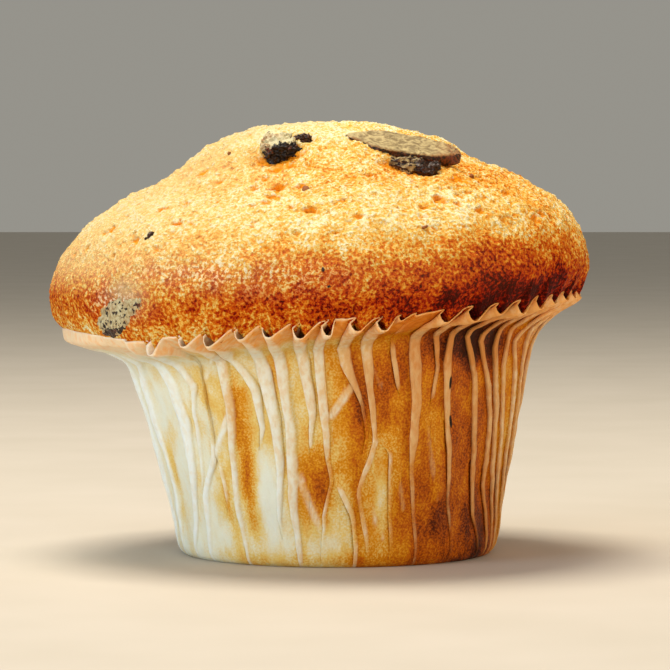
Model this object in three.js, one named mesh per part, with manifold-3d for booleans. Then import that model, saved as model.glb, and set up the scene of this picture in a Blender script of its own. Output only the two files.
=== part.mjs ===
// A muffin in its pleated paper case, with three pieces of chocolate in its crown.
// Millimetres, +Z up. The origin is the centre of the flat base and -Y is the front.
import * as THREE from 'three';
import { mergeVertices } from 'three/addons/utils/BufferGeometryUtils.js';
import Module from 'manifold-3d';

// ---- driving dimensions -------------------------------------------------------------------

// Paper case: a 50 mm base, a slanted wall, and a rim folded out by the risen dough.
const BASE_RADIUS = 25;
const BASE_TURN = 1.6; // radius of the edge where the base turns up into the wall
const CREASE_RADIUS = 33;
const CREASE_HEIGHT = 33.6; // where the wall folds out into the rim
const CREASE_TIP = 0.7; // the crease is this much higher at the front and lower at the back
const WALL_FLARE = 0.8; // power of the wall's slant: under 1, it opens fastest near the base
const RIM_RADIUS = 41.4;
const RIM_HEIGHT = 37.5;
const RIM_TIP = 1.3; // the rim is this much higher on the right and lower on the left
const PAPER = 0.35; // thickness of the paper

// Pleats run up the wall and out along the rim, a ridge and a valley each.
const PLEATS = 54;
const WALL_PLEAT = 1; // deepest pleat on the wall, ridge to valley
const RIM_PLEAT = 1.7; // and at the rim
const PLEAT_START = 0.35; // share of the wall over which the pleats grow from none
const PLEAT_DRIFT = 0.22; // furthest a ridge strays from its even place, in pleats
const PLEAT_UNEVEN = 0.2; // the shallowest pleat lacks twice this share of the deepest

// Cake: the part in the case, and the dome above it.
const DOME_RADIUS = 43.8;
const DOME_EQUATOR = 43.5; // height of the widest ring
const DOME_RISE = 26.4; // equator to apex
const DOME_POWER = 1.235; // over 1, the shoulders are lower than an ellipse's
const DOME_SWELL = 0.3; // height of the dome's uneven swells
const LIP_RISE = 0.8; // the dome's lip starts this far above the rim's ridges
const LIP_START = 0.3; // and this far outside them
const GAP = 0.3; // clearance between touching pieces

// The whole muffin leans to the left (-X) on its flat base.
const LEAN = THREE.MathUtils.degToRad(3.4);
const LEAN_START = 14; // height over which the lean comes in

// Facets.
const CAKE_COLUMNS = 72;
const WALL_ROWS = 5;
const FLARE_ROWS = 2;
const LIP_ROWS = 3;
const DOME_ROWS = 12;
const CHUNK_DETAIL = 3;

// Chocolate: size along, across and through; place on the dome, as an azimuth and a tilt from
// the apex in degrees; turn in its seat, in degrees; and how far it stands proud.
const CHUNKS = [
  { name: 'chocolate_wafer', size: [19, 11, 2.8], azimuth: -54, tilt: 34, turn: -28, proud: 0.9 },
  { name: 'chocolate_lump', size: [7.4, 7, 5.4], azimuth: -101, tilt: 31.5, turn: 20, proud: 1.2 },
  { name: 'chocolate_rim_chunk', size: [7.6, 5.8, 4.2], azimuth: -138, tilt: 97, turn: -10, proud: 0.7 },
];
const CHUNK_UNEVEN = 0.06; // how far its sides wander, as a share of its size
const CHUNK_FLATNESS = 0.7; // under 1 presses a ball's two faces flat

const COLOURS = { cake: 0xe0a04a, paper: 0xdcb27c, chocolate: 0x3a2418 };
const ROUGHNESS = { cake: 0.85, paper: 0.6, chocolate: 0.35 };

// ---- the muffin's section -----------------------------------------------------------------

const { lerp, degToRad, smoothstep } = THREE.MathUtils;
const FULL_TURN = 2 * Math.PI;
const QUARTER = Math.PI / 2;
const LEFT = Math.PI;
const FRONT = -QUARTER;

// 1 towards the given side, 0 square to it and -1 opposite.
const towards = (azimuth, side) => Math.cos(azimuth - side);

const rimHeight = (azimuth) => RIM_HEIGHT - RIM_TIP * towards(azimuth, LEFT);
const creaseHeight = (azimuth) => CREASE_HEIGHT + CREASE_TIP * towards(azimuth, FRONT);

const around = (azimuth, [radius, height]) => [
  radius * Math.cos(azimuth),
  radius * Math.sin(azimuth),
  height,
];

// Turns an upright point to the left, by an angle that grows from none at the base.
function lean([x, y, z]) {
  const angle = LEAN * smoothstep(z, 0, LEAN_START);
  const cos = Math.cos(angle);
  const sin = Math.sin(angle);
  return [x * cos - z * sin, y, x * sin + z * cos];
}

// One row of the case's outer line: where it is, the way the paper faces there, as an angle
// below straight outwards, and the depth of its pleats.
function caseRow(radius, height, facing, pleat) {
  return { radius, height, facing, pleat };
}

// The case's outer line at one azimuth, from the edge of the flat base to the rim.
function caseRows(azimuth) {
  const crease = creaseHeight(azimuth);
  const rim = rimHeight(azimuth);
  const rimFacing = QUARTER - Math.atan2(rim - crease, RIM_RADIUS - CREASE_RADIUS);
  const rows = [];
  for (const facing of [QUARTER, QUARTER / 2]) {
    const radius = BASE_RADIUS - BASE_TURN + BASE_TURN * Math.cos(facing);
    rows.push(caseRow(radius, BASE_TURN * (1 - Math.sin(facing)), facing, 0));
  }
  for (let row = 0; row <= WALL_ROWS; row += 1) {
    const share = row / WALL_ROWS;
    const height = lerp(BASE_TURN, crease, share);
    const radius = lerp(BASE_RADIUS, CREASE_RADIUS, (height / crease) ** WALL_FLARE);
    const facing = row === WALL_ROWS ? rimFacing / 2 : 0;
    rows.push(caseRow(radius, height, facing, WALL_PLEAT * smoothstep(share, 0, PLEAT_START)));
  }
  for (let row = 1; row <= FLARE_ROWS; row += 1) {
    const share = row / FLARE_ROWS;
    const radius = lerp(CREASE_RADIUS, RIM_RADIUS, share);
    rows.push(caseRow(radius, lerp(crease, rim, share), rimFacing, lerp(WALL_PLEAT, RIM_PLEAT, share)));
  }
  return rows;
}

// A point off the case's outer line, by a depth measured into the muffin.
function inFrom(row, depth) {
  return [row.radius - depth * Math.cos(row.facing), row.height + depth * Math.sin(row.facing)];
}

// ---- closed skins and solids --------------------------------------------------------------

function indexed(points, faces) {
  const geometry = new THREE.BufferGeometry();
  geometry.setAttribute('position', new THREE.Float32BufferAttribute(points, 3));
  geometry.setIndex(faces);
  return geometry;
}

// Closes rings of points, the first one lowest on the outside, with a fan at either end.
function skin(rings, firstPole, lastPole) {
  const columns = rings[0].length;
  const points = [...rings.flat(), firstPole, lastPole];
  const first = points.length - 2;
  const last = points.length - 1;
  const faces = [];
  for (let column = 0; column < columns; column += 1) {
    const next = (column + 1) % columns;
    faces.push(first, next, column);
    for (let ring = 0; ring + 1 < rings.length; ring += 1) {
      const low = ring * columns;
      const high = low + columns;
      faces.push(low + column, low + next, high + next);
      faces.push(low + column, high + next, high + column);
    }
    const top = (rings.length - 1) * columns;
    faces.push(top + column, top + next, last);
  }
  return indexed(points.flat(), faces);
}

const wasm = await Module();
wasm.setup();

function toSolid(geometry) {
  const vertProperties = new Float32Array(geometry.attributes.position.array);
  const triVerts = new Uint32Array(geometry.index.array);
  return new wasm.Manifold(new wasm.Mesh({ numProp: 3, vertProperties, triVerts }));
}

function toGeometry(solid) {
  const { vertProperties, triVerts } = solid.getMesh();
  return indexed(vertProperties, [...triVerts]);
}

// ---- paper case ---------------------------------------------------------------------------

// Two columns for each pleat, a ridge and a valley, unevenly spaced and unevenly deep.
function pleatColumns() {
  const columns = [];
  for (let pleat = 0; pleat < PLEATS; pleat += 1) {
    const drift = PLEAT_DRIFT * Math.sin(2.4 * pleat);
    const depth = 1 - PLEAT_UNEVEN * (1 + Math.sin(1.7 * pleat));
    const ridge = (FULL_TURN * (pleat + drift)) / PLEATS;
    const valley = (FULL_TURN * (pleat + 0.5 + drift / 2)) / PLEATS;
    columns.push({ azimuth: ridge, depth: 0, rows: caseRows(ridge) });
    columns.push({ azimuth: valley, depth, rows: caseRows(valley) });
  }
  return columns;
}

// The outer skin runs up to the rim, and the inner one comes back down to the floor.
function buildCase() {
  const columns = pleatColumns();
  const rowCount = columns[0].rows.length;
  const ring = (index, thickness) => columns.map(({ azimuth, depth, rows }) => {
    const row = rows[index];
    return lean(around(azimuth, inFrom(row, depth * row.pleat + thickness)));
  });
  const outside = [];
  const inside = [];
  for (let index = 0; index < rowCount; index += 1) {
    outside.push(ring(index, 0));
    inside.unshift(ring(index, PAPER));
  }
  return skin([...outside, ...inside], [0, 0, 0], [0, 0, PAPER]);
}

// ---- cake ---------------------------------------------------------------------------------

// Low swells of the dome's surface, as three crossing waves that die out at the apex.
function swells(azimuth, tilt) {
  const broad = Math.sin(3 * azimuth + 1.1) * Math.sin(2.2 * tilt);
  const middle = 0.6 * Math.sin(7 * azimuth + 5 * tilt) * Math.sin(2 * tilt);
  const fine = 0.4 * Math.sin(13 * azimuth - 9 * tilt) * Math.sin(2 * tilt);
  return DOME_SWELL * (broad + middle + fine);
}

// A point of the upright dome: tilt is 0 at the apex, a quarter turn at the equator, and more
// on the lip that rolls under.
function domePoint(azimuth, tilt) {
  const swell = swells(azimuth, tilt);
  const rise = Math.sign(Math.cos(tilt)) * Math.abs(Math.cos(tilt)) ** DOME_POWER;
  const radius = (DOME_RADIUS + swell) * Math.sin(tilt);
  return around(azimuth, [radius, DOME_EQUATOR + (DOME_RISE + swell) * rise]);
}

// The lip swings out and up in a quarter turn, from just over the rim to the equator.
function lipPoint(azimuth, share) {
  const start = rimHeight(azimuth) + LIP_RISE;
  const radius = lerp(RIM_RADIUS + LIP_START, DOME_RADIUS, Math.sin(share * QUARTER));
  return around(azimuth, [radius, lerp(start, DOME_EQUATOR, 1 - Math.cos(share * QUARTER))]);
}

// The cake fills the case to its pleats' valleys, rolls out over the rim and rises to the dome.
function cakeColumn(azimuth) {
  const column = caseRows(azimuth).map((row) => around(azimuth, inFrom(row, row.pleat + PAPER + GAP)));
  for (let row = 1; row < LIP_ROWS; row += 1) {
    column.push(lipPoint(azimuth, row / LIP_ROWS));
  }
  for (let row = DOME_ROWS; row > 0; row -= 1) {
    column.push(domePoint(azimuth, (row / DOME_ROWS) * QUARTER));
  }
  return column.map(lean);
}

function buildCake() {
  const columns = [];
  for (let column = 0; column < CAKE_COLUMNS; column += 1) {
    columns.push(cakeColumn((FULL_TURN * column) / CAKE_COLUMNS));
  }
  const rings = columns[0].map((point, row) => columns.map((column) => column[row]));
  return skin(rings, lean([0, 0, PAPER + GAP]), lean(domePoint(0, 0)));
}

// ---- chocolate ----------------------------------------------------------------------------

// A broken piece of chocolate: a ball pressed towards a slab, with uneven sides. Grown by the
// gap, the same shape is the seat that it lies in.
function buildChunk([length, width, thickness], grow) {
  const ball = new THREE.IcosahedronGeometry(1, CHUNK_DETAIL);
  ball.deleteAttribute('normal');
  ball.deleteAttribute('uv');
  const geometry = mergeVertices(ball);
  const place = geometry.attributes.position;
  const half = new THREE.Vector3(length / 2 + grow, width / 2 + grow, thickness / 2 + grow);
  const point = new THREE.Vector3();
  for (let index = 0; index < place.count; index += 1) {
    point.fromBufferAttribute(place, index);
    const wander = Math.sin(4 * point.x + 2 * point.y) + Math.sin(7 * point.y - 3 * point.x);
    const sides = 1 + CHUNK_UNEVEN * wander;
    const face = Math.sign(point.z) * Math.abs(point.z) ** CHUNK_FLATNESS;
    point.set(point.x * sides, point.y * sides, face).multiply(half);
    place.setXYZ(index, point.x, point.y, point.z);
  }
  return geometry;
}

// Seats a chunk in the dome, its flat side facing out. The dome's surface there is felt out
// with one small step up it and one around it.
const STEP = 0.05;

function seat(mesh, { size, azimuth, tilt, turn, proud }) {
  const bearing = degToRad(azimuth);
  const drop = degToRad(tilt);
  const at = new THREE.Vector3(...lean(domePoint(bearing, drop)));
  const above = new THREE.Vector3(...lean(domePoint(bearing, drop - STEP)));
  const beside = new THREE.Vector3(...lean(domePoint(bearing + STEP, drop)));
  const up = above.sub(at).normalize();
  const along = beside.sub(at).normalize();
  const out = new THREE.Vector3().crossVectors(along, up).normalize();
  const across = new THREE.Vector3().crossVectors(out, along);
  mesh.quaternion.setFromRotationMatrix(new THREE.Matrix4().makeBasis(along, across, out));
  mesh.rotateZ(degToRad(turn));
  mesh.position.copy(at).addScaledVector(out, proud - size[2] / 2);
  mesh.updateMatrixWorld();
}

// ---- the group ----------------------------------------------------------------------------

function piece(name, geometry, finish) {
  const material = new THREE.MeshStandardMaterial({
    color: COLOURS[finish],
    roughness: ROUGHNESS[finish],
    metalness: 0,
  });
  const mesh = new THREE.Mesh(geometry, material);
  mesh.name = name;
  return mesh;
}

const muffin = new THREE.Group();
muffin.add(piece('paper_case', buildCase(), 'paper'));

let cake = toSolid(buildCake());
for (const chunk of CHUNKS) {
  const mesh = piece(chunk.name, buildChunk(chunk.size, 0), 'chocolate');
  seat(mesh, chunk);
  muffin.add(mesh);
  const pocket = buildChunk(chunk.size, GAP).applyMatrix4(mesh.matrixWorld);
  cake = cake.subtract(toSolid(pocket));
}
muffin.add(piece('cake', toGeometry(cake), 'cake'));

export default muffin;
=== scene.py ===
"""A chocolate muffin in its pleated paper case. Lengths are in millimetres until they reach a mesh."""
import math
import random
from contextlib import contextmanager

import bpy
import numpy as np
from mathutils import Matrix, Vector, noise


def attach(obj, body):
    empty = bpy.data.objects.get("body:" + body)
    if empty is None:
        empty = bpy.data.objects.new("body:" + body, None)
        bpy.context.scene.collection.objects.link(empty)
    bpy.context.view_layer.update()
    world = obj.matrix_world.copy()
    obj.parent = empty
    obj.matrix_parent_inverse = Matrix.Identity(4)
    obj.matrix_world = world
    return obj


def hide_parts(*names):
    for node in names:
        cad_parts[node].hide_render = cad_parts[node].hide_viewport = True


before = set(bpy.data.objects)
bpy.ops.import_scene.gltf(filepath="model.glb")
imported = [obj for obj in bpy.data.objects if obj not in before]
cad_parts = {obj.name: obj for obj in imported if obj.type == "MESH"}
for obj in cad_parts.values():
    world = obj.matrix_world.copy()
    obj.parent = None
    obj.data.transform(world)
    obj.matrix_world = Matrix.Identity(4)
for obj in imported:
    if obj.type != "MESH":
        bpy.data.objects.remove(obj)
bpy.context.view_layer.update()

MM = 0.001  # metres in a millimetre

# ---- driving dimensions

LEAN = math.radians(3.4)  # the muffin leans to the left on its flat base
LEAN_START = 10.0
BASE_SHIFT = -0.4  # to the left, as is the dome's shift

DOME_RADIUS = 43.5
DOME_SHIFT = -0.4
DOME_EQUATOR = 43.5  # height of the dome's widest ring
DOME_RISE = 26.3
DOME_HEART = DOME_EQUATOR - 14  # height of the point on the axis that the crust faces away from
CROWN_FROM = 50.0  # the crumb is torn and coarse above this height
DOME_CUTS = (24, 7)  # the dome's cube is cut twice, into their product of squares a side

LIP_TUCK = (1.15, 0.55)  # how far the lip reaches in and down behind the case's cut edge
LIP_ROUND = (0.55, 1.0)  # how round the overhang is at the front and right, and at the left

CREASE_GAP = (1.6, 0.9)  # how far the cake lies in and up from the case's crease
EDGE_GAP = (1.7, 0.3)  # how far it lies in and down from the cut edge
WALL_GAP = 2.8  # how far it lies in from the wall

BASE_RADIUS = 25.0
BASE_TURN = 1.6  # how round the case is between its sole and its wall
CREASE_RADIUS = 32.9  # the wall ends at the crease, where the case flares out to its rim
CREASE_HEIGHT = 33.6
CREASE_LIFT = 2.3  # how much higher the crease climbs
CREASE_TOP = 38  # where it is highest, in degrees to the right of the front
CREASE_SOFT = (0.8, 3.4)  # how softly the case bends there, at most places and at the right
WALL_FLARE = 0.8
WALL_SHARE = 0.9  # the wall's middling radius, as a share of the crease's
RIM_RADIUS = 41.3
RIM_REACH = 0.7  # the rim reaches this much further to the left than to the front
# Height of the case's cut edge, by degrees to the right of the front.
RIM_HEIGHTS = (
    (-180, 39), (-120, 39.2), (-90, 38.9), (-75, 39), (-62, 38.5), (-55, 38), (-42, 37.5), (-33, 38),
    (-25, 38.6), (-15, 39.3), (12, 39.3), (25, 39.6), (40, 39.9), (60, 40.5), (75, 40.6), (90, 40.3),
    (130, 39.8), (180, 39),
)
# How far the case's outer edge stands upright, from 0 for a straight flare, by the same degrees.
RIM_TURN_UP = (
    (-180, 0.3), (-120, 0.8), (-100, 1), (-65, 1), (-45, 0.55), (-25, 0.1), (0, 0), (100, 0), (180, 0.3),
)
UPRIGHT_FROM = 0.62  # how far up the flare the upright edge begins
UPRIGHT_SOFT = 0.004  # how softly it begins
WALL_HOLLOW = 1.2  # how far the wall sinks inwards at the left
PAPER = 0.14

# How high the dome stands above its equator, as a share of its rise, by the tilt from the apex.
LEFT_RISE = ((0, 1), (14, 0.97), (23, 0.885), (27, 0.8), (33, 0.7), (40, 0.636), (54, 0.494),
             (71, 0.264), (80, 0.14), (90, 0))
RIGHT_RISE = ((0, 1), (14, 0.965), (29, 0.85), (37, 0.7), (47, 0.593), (57, 0.5), (66, 0.41),
              (77, 0.235), (84, 0.11), (90, 0))

FRONT = -90.0  # azimuths are in degrees, and folds are placed by degrees to the right of the front

# ---- small tools


def smooth(share):
    share = np.clip(share, 0.0, 1.0)
    return share * share * (3.0 - 2.0 * share)


def mix(a, b, share):
    return a + (b - a) * share


def read_off(table, at):
    """A table's value at a place, drawn straight between its pairs of place and value."""
    return np.interp(at, *zip(*table))


def colour(code):
    """A linear colour from a painter's six-figure code."""
    parts = [int(code[i:i + 2], 16) / 255 for i in (0, 2, 4)]
    return tuple(p / 12.92 if p <= 0.04045 else ((p + 0.055) / 1.055) ** 2.4 for p in parts) + (1.0,)


def pick(piece):
    """Leaves one object selected and active."""
    bpy.ops.object.select_all(action="DESELECT")
    piece.select_set(True)
    bpy.context.view_layer.objects.active = piece


def added(name):
    """The primitive that was just added, under its own name and with no other object selected."""
    piece = bpy.context.active_object
    piece.name = name
    piece.data.name = name
    pick(piece)
    return piece


@contextmanager
def editing(piece, action="SELECT", kind="VERT"):
    """Edit mode, with all of the piece selected, none of it, or what was selected before."""
    pick(piece)
    bpy.ops.object.mode_set(mode="EDIT")
    bpy.ops.mesh.select_mode(type=kind)
    if action:
        bpy.ops.mesh.select_all(action=action)
    yield
    bpy.ops.object.mode_set(mode="OBJECT")


def points_of(piece):
    flat = np.empty(len(piece.data.vertices) * 3)
    piece.data.vertices.foreach_get("co", flat)
    return flat.reshape(-1, 3) / MM


def place_points(piece, points):
    piece.data.vertices.foreach_set("co", (points * MM).ravel())
    piece.data.update()


def cut_to_ball(cube, cuts_in_turn):
    """Cuts a cube's faces into squares, again and again, and presses it to a ball."""
    with editing(cube):
        for cuts in cuts_in_turn:
            bpy.ops.mesh.subdivide(number_cuts=cuts - 1)
        bpy.ops.transform.tosphere(value=1.0)


def shade_smooth(piece):
    with editing(piece):
        bpy.ops.mesh.faces_shade_smooth()


def mark(piece, name, values):
    """Gives the piece a value, or one at each point, which its material can read."""
    layer = piece.data.attributes.get(name) or piece.data.attributes.new(name, "FLOAT", "POINT")
    layer.data.foreach_set("value", np.full(len(piece.data.vertices), values, np.float32))


def group(piece, name, weights):
    """A vertex group whose weights are set in steps of a tenth."""
    made = piece.vertex_groups.new(name=name)
    steps = np.clip(np.round(weights * 10), 0, 10).astype(int)
    for step in range(1, 11):
        members = np.nonzero(steps == step)[0].tolist()
        if members:
            made.add(members, step / 10, "REPLACE")
    return made.name


def apply_all(piece):
    pick(piece)
    for modifier in list(piece.modifiers):
        bpy.ops.object.modifier_apply(modifier=modifier.name)


def relief(piece, size, height, where="", detail=2, kind="SOFT_NOISE"):
    """Raises and sinks the surface by a solid texture of the given feature size and height."""
    texture = bpy.data.textures.new(f"{piece.name}_clouds", "CLOUDS")
    texture.noise_scale = size * MM
    texture.noise_depth = detail
    texture.noise_type = kind
    modifier = piece.modifiers.new(texture.name, "DISPLACE")
    modifier.texture = texture
    modifier.texture_coords = "LOCAL"
    modifier.strength = height * MM
    modifier.mid_level = 0.5
    modifier.vertex_group = where


def wobble(points, size, seed, octaves=2):
    """Smooth noise from -1 to 1 at points, with features of the given size."""
    shift = Vector((seed * 7.3, seed * 3.1, seed * 5.7))
    return np.array([noise.fractal(Vector(p) / size + shift, 1.0, 2.0, octaves) for p in points])


def curve(points):
    """A smooth curve through a few points, as a function."""
    steps = np.arange(points[0][0], points[-1][0] + 1.0)
    padded = np.pad(read_off(points, steps), 4, mode="reflect", reflect_type="odd")
    window = np.hanning(11)[1:-1]
    eased = np.convolve(padded, window / window.sum(), mode="valid")
    return lambda x: np.interp(x, steps, eased)


# ---- the muffin's form


def lean(points):
    """Turns upright points to the left, by an angle that grows from none at the base."""
    angle = LEAN * smooth(points[:, 2] / LEAN_START)
    x = points[:, 0] * np.cos(angle) - points[:, 2] * np.sin(angle)
    x = x + BASE_SHIFT * (1 - smooth(points[:, 2] / 25))
    z = points[:, 0] * np.sin(angle) + points[:, 2] * np.cos(angle)
    return np.stack([x, points[:, 1], z], axis=1)


def round_the_axis(azimuth, radius, height):
    angle = np.radians(azimuth)
    return np.stack([radius * np.cos(angle), radius * np.sin(angle), height], axis=1)


def azimuth_of(points):
    return np.degrees(np.arctan2(points[:, 1], points[:, 0]))


def turn_of(azimuth):
    """Degrees to the right of the front, from -180 to 180."""
    return (azimuth - FRONT + 180) % 360 - 180


def towards(azimuth, side):
    return np.cos(np.radians(azimuth - side))


def rim_height(azimuth):
    """Where the cut edge of the case touches the cake: low at the left and high at the right."""
    return read_off(RIM_HEIGHTS, turn_of(azimuth))


def crease_height(azimuth):
    return CREASE_HEIGHT + CREASE_LIFT * np.clip(towards(azimuth, FRONT + CREASE_TOP), 0, 1) ** 3


left_rise, right_rise = curve(LEFT_RISE), curve(RIGHT_RISE)


def dome(azimuth, tilt):
    """Points on the smooth dome, by azimuth and by tilt from the apex, in degrees."""
    leftness = (1.0 + towards(azimuth, 180.0)) / 2.0
    rise = mix(right_rise(tilt), left_rise(tilt), leftness)
    radius = DOME_RADIUS * np.sin(np.radians(tilt))
    points = round_the_axis(azimuth, radius, DOME_EQUATOR + DOME_RISE * rise)
    points[:, 0] += DOME_SHIFT
    return points


def dome_point(azimuth, tilt):
    """One point of the smooth dome, in an array of its own."""
    return dome(np.array([azimuth]), np.array([tilt]))


# ---- cake

# Bumps and hollows of the dome: azimuth, tilt, width, height.
DOME_BUMPS = (
    (178, 44, 3, 0.45), (170, 30, 6, -0.5), (150, 20, 8, 0.5), (-20, 33, 6, -0.5), (8, 48, 5, 0.6),
    (-80, 52, 11, 0.6), (-120, 44, 8, -0.5), (-60, 60, 9, -0.4), (-35, 66, 8, 0.5), (-150, 62, 9, 0.4),
    (-100, 20, 6, 0.5), (-70, 14, 6, -0.4), (60, 40, 12, 0.9), (110, 55, 10, -0.7), (85, 22, 9, 0.6),
    (140, 64, 9, 0.6), (30, 62, 8, -0.5),
)

# Torn hollows in the crumb that can be told apart: degrees to the right of the front, tilt, width, depth.
HOLLOWS = (
    (-50, 32, 1.1, 0.8), (-35, 37, 1, 0.6), (-14, 34, 1.3, 0.8), (-7, 33, 1.2, 0.8), (-11, 43, 1.3, 0.9),
    (-4, 44, 0.9, 0.6), (-1, 58, 1.1, 0.8), (-18, 42, 1, 0.6), (7, 55, 0.8, 0.5), (32, 55, 1, 0.8),
    (36, 60, 0.7, 0.6), (45, 47, 1.4, 0.7), (55, 58, 1.2, 0.7), (-62, 68, 0.8, 0.6), (48, 31, 1.2, 0.6),
)
LOOSE_HOLLOWS = 420
LOOSE_WIDTH = (0.3, 0.75)
LOOSE_DEPTH = (0.45, 0.8)  # as a share of the width
LOWEST_HOLLOW = 72  # tilt


def shape_dome():
    """A cube cut fine, pressed to a sphere, cut off at its equator and raised to the dome."""
    bpy.ops.mesh.primitive_cube_add(size=2 * DOME_RADIUS * MM, location=(0, 0, 0))
    cake = added("cake_crumb")
    cut_to_ball(cake, DOME_CUTS)
    with editing(cake):
        bpy.ops.mesh.bisect(plane_co=(0, 0, 0), plane_no=(0, 0, 1), clear_inner=True, use_fill=False)
    ball = points_of(cake)
    ball /= np.linalg.norm(ball, axis=1)[:, None]
    points = dome(azimuth_of(ball), np.degrees(np.arccos(np.clip(ball[:, 2], -1, 1))))
    outward = outward_of(points)
    for bump_azimuth, bump_tilt, width, height in DOME_BUMPS:
        centre = dome_point(bump_azimuth, bump_tilt)[0]
        near = np.exp(-((np.linalg.norm(points - centre, axis=1) / width) ** 2))
        points += outward * (height * near)[:, None]
    place_points(cake, points)
    return cake


def outward_of(points):
    outward = points - (0, 0, DOME_HEART)
    return outward / np.linalg.norm(outward, axis=1)[:, None]


# Rings drawn on from the dome's edge: shares of the way round the lip, then of the way up from the crease to
# the cut edge, and below zero of the way down from the crease to the sole.
LIP_RINGS = (0.15, 0.3, 0.45, 0.6, 0.75, 0.9)
INSIDE_RINGS = (0.7, 0.4, 0.02, -0.35, -0.75)


def roll_under(cake):
    """Draws the dome's open edge over the rim and down inside the case, and closes it."""
    edge_radius, edge_height = inner_edge()
    for lip, inside in [(ring, None) for ring in LIP_RINGS] + [(None, ring) for ring in INSIDE_RINGS]:
        with editing(cake, "DESELECT", "EDGE"):
            bpy.ops.mesh.select_non_manifold(extend=False, use_multi_face=False, use_non_contiguous=False,
                                             use_verts=False)
            bpy.ops.mesh.extrude_edges_move()
        moved = np.empty(len(cake.data.vertices), bool)
        cake.data.vertices.foreach_get("select", moved)
        points = points_of(cake)
        ring = points[moved]
        azimuth = azimuth_of(ring - (DOME_SHIFT, 0, 0))
        crease = crease_height(azimuth)
        reach, rim = edge_radius(azimuth), edge_height(azimuth)
        if lip is not None:
            swing = math.radians(90 * lip)
            slope = mix(*LIP_ROUND, smooth(towards(azimuth, 180.0) * 1.4))
            radius = mix(DOME_RADIUS, reach - LIP_TUCK[0], (1 - math.cos(swing)) ** slope)
            radius = radius - DOME_SHIFT * towards(azimuth, 180.0) * (1 - lip)
            height = mix(DOME_EQUATOR, rim - LIP_TUCK[1], math.sin(swing))
        elif inside > 0:
            radius = mix(CREASE_RADIUS - CREASE_GAP[0], reach - EDGE_GAP[0], inside)
            height = mix(crease + CREASE_GAP[1], rim - EDGE_GAP[1], inside)
        else:
            height = crease * (1 + inside)
            radius = mix(BASE_RADIUS, CREASE_RADIUS, (height / crease) ** WALL_FLARE) - WALL_GAP
        points[moved] = round_the_axis(azimuth, radius, height)
        place_points(cake, points)
    with editing(cake, "", "EDGE"):
        bpy.ops.mesh.fill_holes(sides=0)
        bpy.ops.mesh.select_all(action="SELECT")
        bpy.ops.mesh.normals_make_consistent(inside=False)


# How brown the crust is, by height. The lowest crust, behind the case's notches, is kept a lighter orange:
# painted light against its shade.
BAKE = (
    (36.6, 0.44), (38.6, 0.6), (41.5, 0.67), (44, 0.54), (47, 0.39), (50, 0.25), (53, 0.12), (57, 0.12),
    (61, 0.24), (65, 0.17), (68, 0.06),
)
# By degrees to the right of the front: how much higher the browning climbs, and how much deeper it is. Both
# rise at the right, partly as painted shade on that side.
BAKE_CLIMB = (
    (-180, 0), (-90, -2), (-50, -1.6), (-15, -0.3), (10, 0.6), (35, 2.2), (60, 2.4), (90, 1), (180, 0),
)
BAKE_DEPTH = (
    (-180, 1), (-90, 0.82), (-50, 0.78), (-10, 0.94), (10, 1.08), (35, 1.6), (60, 1.66), (90, 1), (180, 1),
)
# A golden shoulder at the right, by the same degrees and by height.
GOLDEN_SIDE = ((25, 0), (55, 0.07), (90, 0.05), (140, 0))
GOLDEN_RISE = ((46, 0), (52, 1), (58, 1), (63, 0))
# How dull the crust is, by the same degrees.
DRY_SIDE = ((-180, 0.4), (-140, 0.7), (-95, 1.05), (-60, 1.0), (-35, 0.5), (-10, 0.15), (60, 0), (180, 0.4))
# Patches on the crust: degrees to the right of the front, height, and reach across in degrees and up.
# The front patch is a painted sheen: pale specks that stand in for highlights on the browned crust.
FRONT_SHEEN = (-24, 46.2, 20, 2.2)
CHUNK_GRAINS = (-49, 41.5, 5.5, 2.6)
CHUNK_DRYNESS = (-46, 43.5, 5.5, 3.0)


def patch_of(points, turn, height, wide, tall):
    """One at the middle of a patch, fading out around it."""
    across = (turn_of(azimuth_of(points)) - turn) / wide
    return np.exp(-(across ** 2) - ((points[:, 2] - height) / tall) ** 2)


def bake_of(points):
    """How brown the crust is: golden on the crown, deeper down to the lip, and deeper at the right partly as
    painted shade.
    """
    turn = turn_of(azimuth_of(points))
    rise = points[:, 2] + points[:, 0] * math.tan(LEAN) + 0.9 * wobble(points, 9.0, 4, 3)
    rise = rise - read_off(BAKE_CLIMB, turn)
    deep = mix(read_off(BAKE_DEPTH, turn), 1, 0.8 * smooth((rise - 49) / 7))
    golden = read_off(GOLDEN_SIDE, turn) * read_off(GOLDEN_RISE, rise)
    return np.clip(read_off(BAKE, rise) * deep + golden, 0, 1)


def sheen_and_crumbs_of(points):
    """Pale grains on the browned crust: a painted sheen left of the front, and pale crumb over the buried
    chunk.
    """
    return np.maximum(patch_of(points, *FRONT_SHEEN), 1.6 * patch_of(points, *CHUNK_GRAINS))


def dry_of(points):
    """Where the crust is a dull tan: round the left side, and over the chunk under the crust."""
    around = read_off(DRY_SIDE, turn_of(azimuth_of(points))) * smooth((points[:, 2] - 41) / 7)
    return np.maximum(around, 1.25 * patch_of(points, *CHUNK_DRYNESS))


# Pockets in the crumb round the chocolate: place, reach each way and depth.
POCKETS = (
    ((-9.4, -19.6, 64.2), (4.4, 3.2, 3.2), 1.5), ((-5, -16.5, 66.6), (1.8, 1.6, 1.8), 0.6),
    ((11, -21.8, 62.3), (5.8, 2.4, 2.2), 1.3), ((19, -15.5, 63.6), (2.4, 3, 2.5), 0.6),
    ((-34.6, -28.8, 39.6), (4, 4, 3.4), 0.4),
)


def open_pockets(cake, points):
    """Sinks the crumb round the chocolate, and returns how deep each point lies."""
    depth = np.zeros(len(points))
    rough = 0.3 * wobble(points, 0.9, 31)
    for centre, reach, sink in POCKETS:
        away = np.linalg.norm((points - centre) / reach, axis=1)
        depth = np.maximum(depth, sink * smooth((1.25 - away + rough) / 0.7))
    place_points(cake, points_of(cake) - outward_of(points) * depth[:, None])
    return depth


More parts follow.
